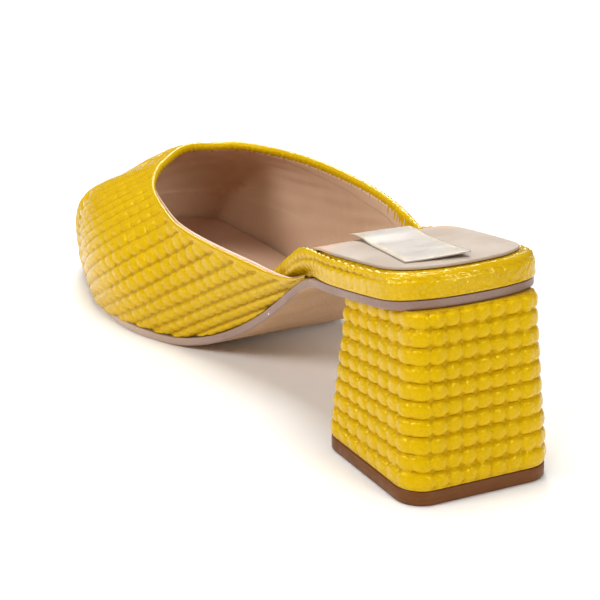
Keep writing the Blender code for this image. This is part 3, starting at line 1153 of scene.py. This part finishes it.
    def lining(self) -> bpy.types.Object:
        """The lining: its cut edge shows along the topline, and its face is the inside of the shoe."""
        count, rows = self.lining_columns, self.lining_rows
        along = self.column_places(count + 1)
        fine, lengths = self.face(along)
        share_of_wall = self.last.wall_share(along)
        fold = self.folded(along)
        skin = (self.last.wall - self.lining_thick + self.lining_gap + self.fold_gap * fold) * share_of_wall
        full = (self.last.wall + self.lining_gap + self.fold_fullness * fold) * share_of_wall
        radius = (full - skin) / 2
        top = np.maximum(lengths - 0.5 * radius - self.turn_in * fold * share_of_wall, lengths * 0.4)
        rises = np.stack([np.maximum(top - d, 0.3 * top) for d in (2.5, 1.5, 0.7, 0.0)])
        outer = resampled(fine, rises)
        normal = self.outward(resampled(fine, np.linspace(0, 1, rows)[:, None] * top))[-1]
        side = outer - normal * skin[:, None]
        rim = self.rolled(outer, normal, radius, skin, np.zeros((0, count + 1)))
        below = np.linspace(0, 1, rows)[1:, None] * top
        points = resampled(fine, top - below)
        facing = self.outward(points[::-1])[::-1]
        inner = points - facing * full[:, None]
        depth = self.creased(inner, below, along) * smooth_step(share_of_wall, 0.9, 1.0)
        inner = inner - facing * depth[..., None]
        whole = np.concatenate([side, rim, inner], 0)
        face_from = len(side) + self.rim_rows
        cut_edge_and_painted_light = np.zeros(whole.shape[:2])
        # The cut edge's own colour along the rim.
        cut_edge_and_painted_light[2:face_from] = 1 - smooth_step(along, 0.38, 0.6) + 0.5 * smooth_step(along, 1.6, 1.9)
        cut_edge_and_painted_light[face_from] = 0.5
        # Painted light on the inner face: lighter towards the toe, and lighter towards the top further back.
        ahead = smooth_step(inner[1:, :, 1], 110.0, 190.0)
        cut_edge_and_painted_light[face_from + 1 :] = 0.25 * ahead + 0.5 * (1 - ahead) * smooth_step(inner[1:, :, 2], 40.0, 62.0)
        obj = grid_object("vamp_lining", whole)
        paint(obj, Shade.CUT_EDGE_AND_PAINTED_LIGHT, cut_edge_and_painted_light)
        obj.data.flip_normals()
        shade_smooth(obj)
        return obj

    def build(self, groups: Groups) -> None:
        """Builds and dresses both layers."""
        finish_piece(self.skin(), "upper", VAMP_HIDE.build(groups))
        finish_piece(self.lining(), "upper", LINING_HIDE.build(groups))


@dataclass(frozen=True)
class Layer:
    """One layer of the sole, worked as a ring of sections that meet on its middle line."""

    last: Last
    name: str
    lift_at: Along
    thickness_at: Along
    thick: float
    shoulder: float
    sole_rounding: float
    inset_at: Along
    side_steps: int = 150
    end_steps: int = 60
    fan_rows: int = 6
    flat: float = 9.0
    middle_span: tuple[float, float] = (0.07, 0.93)

    def outline(self) -> tuple[Array, Array]:
        """Side and share of every place round the layer, medial edge first, back to the start."""
        steps = np.arange(self.side_steps) / self.side_steps
        turns = np.arange(self.end_steps) / self.end_steps * math.pi
        power = 2 / self.last.corner_power
        across = np.sign(np.cos(turns)) * np.abs(np.cos(turns)) ** power
        side = np.concatenate([-np.ones(self.side_steps), -across, np.ones(self.side_steps), across, [-1.0]])
        share = np.concatenate([steps, np.ones(self.end_steps), 1 - steps, np.zeros(self.end_steps), [0.0]])
        return side, share

    def section(self) -> tuple[Array, Array]:
        """The section from the middle over the shoulder and back underneath, as inset and height."""
        round_top = np.radians(np.linspace(90, 0, 15))
        round_low = np.radians(np.linspace(0, -90, 5))
        s, r = self.shoulder, self.sole_rounding
        near = s + np.array([2.4, 2.0, 1.6, 1.2, 0.8, 0.4])
        side = np.linspace(self.thick - s, r, 13)[1:-1]
        over, below = s - s * np.cos(round_top), r - r * np.cos(round_low)
        inset = np.concatenate([[self.flat], near, over, 0 * side, below, [self.flat]])
        top = np.full(1 + len(near), self.thick)
        shoulder = self.thick - s + s * np.sin(round_top)
        return inset, np.concatenate([top, shoulder, side, r + r * np.sin(round_low), [0.0]])

    def mesh(self, moved: Callable[..., tuple[Array, Array]] | None = None) -> bpy.types.Object:
        """The layer's closed mesh.

        Args:
            moved: Gives each place of the wall a push outward and a shade, from its run round the
                edge, its distance down the section, its distance along the foot and its inset.

        Returns:
            The piece, without material.
        """
        side, share = self.outline()
        x, back = self.last.plan_point(side, share, self.inset_at)
        edge = np.stack([x, back], -1)
        run_dir = np.roll(edge[:-1], -1, 0) - np.roll(edge[:-1], 1, 0)
        ring = unit(np.stack([-run_dir[:, 1], run_dir[:, 0]], -1))
        for _ in range(2):
            ring = unit(np.roll(ring, 1, 0) + 2 * ring + np.roll(ring, -1, 0))
        out = np.concatenate([ring, ring[:1]], 0)
        inset, height = self.section()
        plan = edge[None] - inset[:, None, None] * out[None]
        level = np.repeat(height[:, None], len(side), 1)
        held = np.clip(share, *self.middle_span)
        middle = np.stack(self.last.plan_point(np.zeros_like(side), held, self.inset_at), -1)
        fan = self.fan_rows
        ways = np.linspace(0, 1, fan + 1)[:-1, None, None]
        top_fan = middle + (plan[0] - middle) * ways
        low_fan = plan[-1] + (middle - plan[-1]) * (ways + 1 / fan)
        plan = np.concatenate([top_fan, plan, low_fan], 0)
        level = np.concatenate([np.full((fan, len(side)), self.thick), level, np.zeros((fan, len(side)))], 0)
        place = plan[..., 1]
        spare = self.thickness_at(place) - self.thick
        level = level + spare * smooth_step(level, 0.25 * self.thick, 0.75 * self.thick)
        flat_back, flat_z = self.last.lifted(place, self.lift_at(place) + level)
        points = np.stack([plan[..., 0], flat_back, flat_z], -1)
        shade = np.ones(points.shape[:2])
        if moved:
            wall = slice(fan, fan + len(inset))
            rim = points[wall]
            normals = unit(np.cross(np.gradient(rim, axis=1), np.gradient(rim, axis=0)))
            insets = np.repeat(inset[:, None], len(side), 1)
            push, tint = moved(travel(rim, 1), travel(rim, 0), rim[..., 1], insets)
            normals[:, :1] = normals[:, -1:] = unit(normals[:, :1] + normals[:, -1:])
            push[:, -1] = push[:, 0]
            tint[:, -1] = tint[:, 0]
            points[wall] = rim + normals * push[..., None]
            # The wall's painted shade from the relief.
            shade[wall] = tint
        obj = grid_object(self.name, points)
        paint(obj, Shade.RELIEF, shade)
        return close_loop(obj)


@dataclass(frozen=True)
class Sole:
    """Outsole, wrapped footbed and sock."""

    last: Last
    emboss: WovenEmboss = WovenEmboss(
        square=4.4, depth=1.6, waist=0.7, waist_power=2.2, fullness=0.6, domed=True,
    )
    row_pitch: float = 4.0
    level_line: float = 0.85
    worn_seat: tuple[float, float] = (6.0, 30.0)
    wrinkling: float = 0.1
    dimple: float = 0.5
    dimple_row: float = 3.35
    dimple_width: float = 0.16
    sock_margin: float = 3.6
    sock_margin_tucked: float = 0.7
    first_channel: float = 2.2
    wrap_inset: float = 5.0
    edge_inset: float = 2.3
    edge_inset_span: tuple[float, float] = (158.0, 196.0)
    shelf: float = 3.8
    shelf_span: tuple[float, ...] = (56.0, 80.0, 98.0, 114.0)
    # Painted light on the outsole's edge towards the toe: where it sets in and where it is full.
    outsole_front: tuple[float, ...] = (112.0, 190.0)
    # Painted shade on the sock's front: where it sets in, where it is full, and how far its line falls back
    # at the sides.
    sock_front: tuple[float, ...] = (60.0, 67.5, 13.0)
    under_normal: float = -0.75

    def rand(self, run: Array, down: Array, back: Array, inset: Array) -> tuple[Array, Array]:
        """The emboss of the covered edge, strong at the waist and worn smooth round the seat.

        Args:
            run: Distance round the edge.
            down: Distance down the section from its start on top.
            back: Distance along the foot.
            inset: Distance inside the edge.

        Returns:
            The push outward and the relief's shade.
        """
        emboss = self.emboss
        start = down[np.argmax(inset[:, 0] < self.wrap_inset)][None]
        across = (down - start) / self.row_pitch + self.first_channel / self.row_pitch
        pattern = emboss.relief(across, run / emboss.square)
        waist = smooth_step(back, *self.worn_seat)
        strength = 0.25 + 0.75 * waist
        fade_side = 1 - 0.8 * smooth_step(across, 1.9, 2.4)
        wrinkle = np.sin(run * 1.9 + 1.6 * np.sin(across * 2.6 + run * 0.23))
        wrinkle *= np.sin(run * 0.61 + across * 2.2)
        wrinkle += 0.7 * np.sin(run * 3.3 - across * 4.1 + 2 * np.sin(run * 0.37))
        push = emboss.depth * (pattern - self.level_line) * strength * fade_side
        push += self.wrinkling * wrinkle * (1 - 0.8 * waist)
        spots = np.abs((run / emboss.square + 0.15 * np.sin(run * 0.7)) % 1 - 0.5) * 2
        off_row = (across - self.dimple_row - 0.1 * np.sin(run * 0.31)) / self.dimple_width
        spots = smooth_step(0.55 - spots, 0.0, 0.4) * np.exp(-(off_row**2))
        spots = spots * (0.55 + 0.45 * np.sin(run * 0.43) * np.sin(run * 0.17 + 1.0))
        push = push - self.dimple * spots
        inside = smooth_step(-inset, -5.6, -4.2)
        above = down.max(0) - down
        low = smooth_step(above, 8.6, 10.0)
        height = above - self.last.footbed_tuck - 5.0
        shelf = self.shelf * band(back, *self.shelf_span)
        shelf = shelf * smooth_step(height, 1.5, 6.0) * smooth_step(-inset, -2.9, -1.4)
        # Painted shade: the colour darkens in the channels and in the dimples.
        shade = (1 - (1 - pattern) * strength * fade_side * inside) * (1 - 0.5 * spots)
        return push * inside * low + shelf, shade

    def sock_inset(self, back: Array) -> Array:
        """Inset of the sock from the sole's edge."""
        share = self.last.tuck_share(back)
        inset = self.last.footbed_inset(back) + self.sock_margin
        return inset + (self.sock_margin_tucked - self.sock_margin) * share

    def paint_front(self, obj: bpy.types.Object, start: float, end: float, bulge: float = 0.0) -> None:
        """Paints a layer's front in its second tone: painted light on the outsole's edge, painted shade on
        the sock.

        Args:
            obj: The layer.
            start: Distance along the foot where the tone sets in.
            end: Distance where it is full.
            bulge: How far the line falls back at 24 mm from the middle.
        """
        places = np.empty(len(obj.data.vertices) * 3, np.float32)
        obj.data.vertices.foreach_get("co", places)
        across, back = places[0::3] / MM, places[1::3] / MM + ORIGIN_BACK
        paint(obj, Shade.CUT_EDGE_AND_PAINTED_LIGHT, smooth_step(back + bulge * (across / 24) ** 2, start, end))

    def build(self, groups: Groups) -> None:
        """Builds and dresses the three layers."""
        last = self.last
        outsole = Layer(
            last, "sole_layer", even(-last.outsole_thick), even(last.outsole_thick), last.outsole_thick,
            shoulder=0.35, sole_rounding=0.9,
            inset_at=lambda back: self.edge_inset * smooth_step(back, *self.edge_inset_span),
        ).mesh()
        # Painted light on the outsole's edge towards the toe.
        self.paint_front(outsole, *self.outsole_front)
        finish_piece(outsole, "outsole", SOLE_EDGE.build(groups), SOLE_UNDER.build(groups))
        heights = np.zeros(len(outsole.data.polygons) * 3, np.float32)
        outsole.data.polygons.foreach_get("normal", heights)
        under = heights.reshape(-1, 3)[:, 2] < self.under_normal
        outsole.data.polygons.foreach_set("material_index", under.astype(np.int32))
        shade_smooth(outsole, 60)
        footbed = Layer(
            last, "wrapped_footbed", even(last.gap), last.footbed_thickness, last.footbed_thick,
            shoulder=2.9, sole_rounding=0.6, inset_at=last.footbed_inset, side_steps=420, end_steps=120,
        ).mesh(self.rand)
        shade_smooth(footbed)
        finish_piece(footbed, "footbed", RAND_HIDE.build(groups))
        sock = Layer(
            last, "sock_cover", lambda back: 2 * last.gap + last.footbed_thickness(back),
            even(last.sock_thick), last.sock_thick,
            shoulder=0.4, sole_rounding=0.2, inset_at=self.sock_inset, side_steps=300,
        ).mesh()
        # Painted shade over the sock's front.
        self.paint_front(sock, *self.sock_front)
        shade_smooth(sock, 60)
        finish_piece(sock, "sock", SOCK_HIDE.build(groups))


@dataclass(frozen=True)
class BlockHeel:
    """The flared block under the seat, covered in rows, and its wearing piece.

    Each level is a share of the height, then the half width, the rear, the front and the corner
    radius there.
    """

    last: Last
    emboss: WovenEmboss = WovenEmboss(
        square=5.2, depth=1.55, waist=0.7, waist_power=2.4, roundness=2.5, fullness=0.5, wander=0.08,
        domed=True,
    )
    side_square: float = 6.2
    corner_run: float = -18.0
    square_phase: float = 0.423
    joined_rear: tuple[float, ...] = (-32.0, -26.0, -23.0, -18.5)
    joined_rear_share: float = 0.55
    joined_side: tuple[float, ...] = (12.0, 20.0, 24.0, 32.0)
    joined_side_share: float = 0.5
    softened: tuple[float, ...] = (4.0, 20.0, 24.0, 36.0)
    softening: float = 0.15
    levels: tuple[tuple[float, ...], ...] = (
        (0.0, 26.0, -5.6, 50.8, 8.8),
        (0.5, 23.9, -3.5, 48.6, 8.0),
        (1.0, 22.0, -1.6, 47.0, 7.4),
    )
    rows: int = 10
    top_piece: float = 4.8
    columns: int = 520
    climbs: int = 130
    top_piece_columns: int = 160
    proud: float = 0.35
    level_line: float = 0.6
    clearance: float = 0.1

    def ring(self, share: Array, turn: Array) -> tuple[Array, Array, Array]:
        """Plan places of the block round its height: each side in turn with the corner after it.

        Args:
            share: Share of the height.
            turn: Share of the way round, from the middle of the breast and back to it.

        Returns:
            Plan positions (x, back), their outward directions, and the distance round from the
            middle of the rear.
        """
        table = np.array(self.levels)
        half, rear, front, corner = np.moveaxis(NaturalCurve(table[:, 0], table[:, 1:])(share), -1, 0)
        width, depth = 2 * (half - corner), front - rear - 2 * corner
        whole = 2 * width + 2 * depth + 2 * math.pi * corner
        place = turn * whole
        centre = np.stack([0 * front, (front + rear) / 2], -1)
        plan = np.zeros((*place.shape, 2))
        outs = np.zeros((*place.shape, 2))
        start = -width / 2
        faces = ((0.0, 1.0), (-1.0, 0.0), (0.0, -1.0), (1.0, 0.0), (0.0, 1.0), (-1.0, 0.0))
        for quarter, (faced, ahead) in enumerate(itertools.pairwise(faces)):
            side, reach = (depth, width / 2) if quarter % 2 else (width, depth / 2)
            gone = place - start
            bend = np.maximum(0.0, gone - side) / corner
            outward = np.cos(bend)[..., None] * faced + np.sin(bend)[..., None] * ahead
            middle = reach[..., None] * faced + (np.clip(gone, 0, side) - side / 2)[..., None] * ahead
            here = (gone >= 0)[..., None]
            plan = np.where(here, centre + middle + corner[..., None] * outward, plan)
            outs = np.where(here, outward, outs)
            start = start + side + corner * math.pi / 2
        return plan, outs, place - whole / 2

    def cover(self) -> bpy.types.Object:
        """The covered block: courses that fan from the flat ground to the sloping seat."""
        turn, share = np.meshgrid(np.linspace(0, 1, self.columns + 1), np.linspace(0, 1, self.climbs + 1))
        plan, outs, run = self.ring(share, turn)
        last, emboss = self.last, self.emboss
        past = np.maximum(0.0, self.corner_run - run)
        squares = run / emboss.square + self.square_phase + past * (1 / emboss.square - 1 / self.side_square)
        joined = self.joined_rear_share * band(run, *self.joined_rear)
        joined += self.joined_side_share * band(run, *self.joined_side)
        pattern = emboss.relief(share * self.rows, squares, joined)
        strength = 1.0 - self.softening * band(run, *self.softened)
        ends = smooth_step(share, 0.0, 0.02) * smooth_step(1 - share, 0.0, 0.02)
        lift = self.proud + emboss.depth * (pattern - self.level_line) * strength
        plan = plan + outs * (lift * ends)[..., None]
        low = self.top_piece + last.gap
        under = (last.outsole_thick + self.clearance) * math.hypot(1, last.seat_slope)
        seat = last.seat_height - last.seat_slope * plan[..., 1] - under
        points = np.concatenate([plan, (low + share * (seat - low))[..., None]], -1)
        obj = grid_object("heel_cover", points)
        # Painted shade in the channels between the squares; the colour also darkens along the top edge under
        # the seat.
        below_seat = 1 - smooth_step(share, 0.975, 0.995)
        paint(obj, Shade.RELIEF, (1 - (1 - pattern) * strength) * below_seat)
        close_loop(obj)
        shade_smooth(obj, 70)
        return obj

    def wearing_piece(self) -> bpy.types.Object:
        """The top piece under the block, with softened edges."""
        turn = np.linspace(0, 1, self.top_piece_columns + 1)[None]
        plan, outs, _ = self.ring(np.zeros_like(turn), turn)
        top = self.top_piece
        low_edge = ((-0.5, 0.0), (-0.12, 0.12), (0.15, 0.5), (0.2, 2.4))
        profile = (*low_edge, (0.15, top - 0.45), (-0.1, top - 0.1), (-0.4, top))
        level = np.ones((turn.size, 1))
        points = np.stack([np.concatenate([plan[0] + outs[0] * push, level * z], -1) for push, z in profile])
        obj = grid_object("wearing_piece", points)
        close_loop(obj)
        shade_smooth(obj, 50)
        return obj

    def build(self, groups: Groups) -> None:
        """Builds and dresses the block and its wearing piece."""
        finish_piece(self.cover(), "heel_block", HEEL_HIDE.build(groups))
        finish_piece(self.wearing_piece(), "top_piece", HEEL_LEATHER.build(groups))


@dataclass(frozen=True)
class Label:
    """The bare patch on the sock, with its front edge and one corner lifting."""

    last: Last
    length: float = 51.0
    flare: float = 6.0
    width: float = 20.0
    thick: float = 0.42
    clearance: float = 0.12
    curl: float = 1.4
    front_lift: float = 2.0
    ripple: float = 0.16
    wave: float = 0.35
    back: float = 37.0
    side: float = -2.5
    turn: float = -10.5
    columns: int = 42
    rows: int = 98

    def face(self, u: Array, v: Array) -> Array:
        """The patch's lower face.

        Args:
            u: Shares across the patch.
            v: Shares along it.

        Returns:
            One point for each pair of shares.
        """
        last, turn = self.last, math.radians(self.turn)
        across, along = (u - 0.5) * self.width, (v - 0.5) * (self.length + self.flare * u)
        x = self.side + across * math.cos(turn) - along * math.sin(turn)
        back = self.back + across * math.sin(turn) + along * math.cos(turn)
        back, z = last.lifted(back, 2 * last.gap + last.footbed_thick + last.sock_thick + self.clearance)
        ripple = self.ripple * np.sin(v * 9.0 + 1.0) * np.sin(u * 3.0)
        wave = self.wave * np.exp(-(((v - 0.93) / 0.06) ** 2)) * smooth_step(u, 0.1, 0.6)
        front = self.front_lift * smooth_step(v, 0.6, 1.05) * (1 - 0.45 * u)
        corner = self.curl * u**2 * (1 - v) ** 2
        return np.stack([x, back, z + corner + np.maximum(ripple, 0) + wave + front], -1)

    def build(self, groups: Groups) -> None:
        """Builds and dresses the patch."""
        u, v = np.meshgrid(np.linspace(0, 1, self.columns + 1), np.linspace(0, 1, self.rows + 1))
        obj = grid_object("sock_label", self.face(u, v))
        paint(obj, Shade.ACROSS, (u - 0.5) * self.width)
        paint(obj, Shade.ALONG, (v - 0.5) * self.length)
        wall = obj.modifiers.new("Thickness", "SOLIDIFY")
        wall.thickness = self.thick * MM
        wall.offset = 1
        shade_smooth(obj, 40)
        finish_piece(obj, "label", LABEL_CARD.build(groups))


# --------------------------------------------------------------------------- studio


@dataclass(frozen=True)
class Softbox:
    """A square area light that faces a point."""

    name: str
    place: Point
    aim: Point
    size: float
    power: float

    def build(self) -> None:
        """Hangs the light."""
        light = bpy.data.lights.new(self.name, "AREA")
        light.shape = "SQUARE"
        light.size = self.size
        light.energy = self.power
        obj = placed(self.name, light)
        obj.location = self.place
        obj.rotation_euler = (Vector(self.aim) - Vector(self.place)).to_track_quat("-Z", "Y").to_euler()


@dataclass(frozen=True)
class Studio:
    """A pale floor, soft lights and the camera."""

    aim: Point = (-0.0152, 0.06515, 0.0346)
    turn: float = 27.2
    fall: float = 21.0
    distance: float = 0.7343
    lens: float = 132.0
    sensor: float = 36.0
    floor_tone: Colour = (0.99, 0.975, 0.95)
    floor_half: float = 3.0
    floor_drop: float = 0.00005
    sky: Colour = (1.0, 1.0, 1.0)
    sky_strength: float = 0.16
    lights: tuple[Softbox, ...] = (
        Softbox("left_box", (-1.15, 0.1, 0.8), (0.0, 0.08, 0.03), 0.5, 8.8),
        Softbox("rear_box", (0.4, -1.3, 0.62), (0.0, 0.05, 0.03), 0.5, 8.4),
        Softbox("toe_box", (0.55, 1.25, 0.75), (0.0, 0.08, 0.0), 0.45, 9.0),
        Softbox("overhead", (0.0, 0.15, 1.35), (0.0, 0.08, 0.0), 0.6, 11.0),
        Softbox("glint", (-0.95, -0.75, 1.15), (0.0, 0.05, 0.03), 0.2, 3.0),
        Softbox("spark", (-1.1, 0.85, 0.65), (0.0, 0.05, 0.03), 0.2, 0.8),
    )

    def camera(self) -> None:
        """Sets up the camera."""
        turn, fall = math.radians(self.turn), math.radians(self.fall)
        look = Vector((math.sin(turn) * math.cos(fall), math.cos(turn) * math.cos(fall), -math.sin(fall)))
        data = bpy.data.cameras.new("studio_camera")
        data.lens = self.lens
        data.sensor_width = self.sensor
        data.clip_start = 0.02
        data.clip_end = 20.0
        obj = placed("studio_camera", data)
        obj.location = Vector(self.aim) - look * self.distance
        obj.rotation_euler = look.to_track_quat("-Z", "Y").to_euler()
        bpy.context.scene.camera = obj

    def floor(self) -> None:
        """Lays the floor."""
        made = bmesh.new()
        bmesh.ops.create_grid(made, x_segments=4, y_segments=4, size=self.floor_half)
        bmesh.ops.translate(made, verts=made.verts, vec=(0, 0, -self.floor_drop))
        mesh = bpy.data.meshes.new("floor")
        made.to_mesh(mesh)
        made.free()
        obj = placed("floor", mesh)
        material, bench, shader, place = new_material("floor_paper")
        patches = bench.times(bench.noise(place, 6.0, 2.0), 0.1)
        tone = bench.blend(patches, rgba(self.floor_tone), rgba(self.floor_tone, 0.97))
        bench.wire(tone, shader.inputs["Base Color"])
        shader.inputs["Roughness"].default_value = 0.8
        shader.inputs["Specular IOR Level"].default_value = 0.2
        mesh.materials.append(material)

    def world(self) -> None:
        """Fills the studio with even light."""
        world = bpy.data.worlds.new("studio_air")
        world.use_nodes = True
        back = world.node_tree.nodes["Background"]
        back.inputs["Color"].default_value = rgba(self.sky)
        back.inputs["Strength"].default_value = self.sky_strength
        bpy.context.scene.world = world
        bpy.context.scene.view_settings.view_transform = "Standard"

    def build(self) -> None:
        """Builds the whole studio."""
        self.camera()
        self.floor()
        self.world()
        for light in self.lights:
            light.build()


def main() -> None:
    """Builds the mule and its studio."""
    logging.basicConfig(level=logging.INFO, format="%(message)s")
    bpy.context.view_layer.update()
    last = Last()
    Studio().build()
    groups = Groups()
    for assembly in (Sole(last), BlockHeel(last), Label(last), Vamp(last)):
        assembly.build(groups)


if __name__ == "__main__":
    main()
